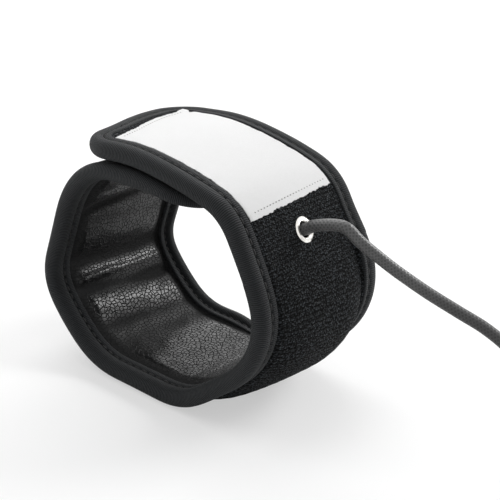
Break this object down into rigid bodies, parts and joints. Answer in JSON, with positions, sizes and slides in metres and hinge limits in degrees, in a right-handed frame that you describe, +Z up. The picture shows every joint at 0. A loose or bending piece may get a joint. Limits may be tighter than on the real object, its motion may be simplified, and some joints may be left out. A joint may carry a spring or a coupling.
{
  "type": "dew heater strip",
  "caption": "Flexible heated strap closed into a loop by a hook-and-loop flap, with a bound edge, an eyelet and a cable that ends in a USB plug.",
  "frame": {"origin": "on the floor, under the middle of the strap's loop", "axes": "+Z up, +Y along the loop's axis from the near rim to the far rim, +X towards the side where the cable leaves"},
  "size_m": [0.1954, 0.06, 0.0664],
  "materials": {
    "lining": "glossy pebbled",
    "film": "gloss",
    "track": "satin",
    "foam": "matte",
    "pile": "looped pile",
    "binding": "ribbed tape",
    "nickel": "polished",
    "black_plastic": "matte",
    "lead_red": "satin",
    "lead_black": "satin",
    "solder": "satin",
    "cord": "braided",
    "steel": "brushed",
    "white_plastic": "gloss",
    "contact": "polished",
    "label": "satin weave"
  },
  "bodies": {
    "strip": {"leather_lining": "lining", "heater_film": "film", "heater_track": "track", "foam_pad": "foam", "pile_fabric": "pile", "edge_binding": "binding", "eyelet": "nickel", "eyelet_washer": "nickel", "cable_stop": "black_plastic", "lead_positive": "lead_red", "lead_negative": "lead_black", "lead_sleeves": "black_plastic", "terminal_pads": "solder", "cord_run": "cord", "cord_coil": "cord", "plug_strain_relief": "black_plastic", "plug_housing": "black_plastic", "plug_shell": "steel", "plug_tongue": "white_plastic", "plug_contacts": "contact"},
    "flap": {"flap_lining": "lining", "flap_foam": "foam", "flap_pile": "pile", "flap_binding": "binding", "hook_patch": "black_plastic", "label": "label"}
  },
  "joints": [
    {"name": "flap_peel", "type": "hinge", "parent": "strip", "child": "flap", "pos_m": [0.0279, 0, 0.05446], "axis": [0, 1, 0], "range_deg": [0, 85]}
  ]
}
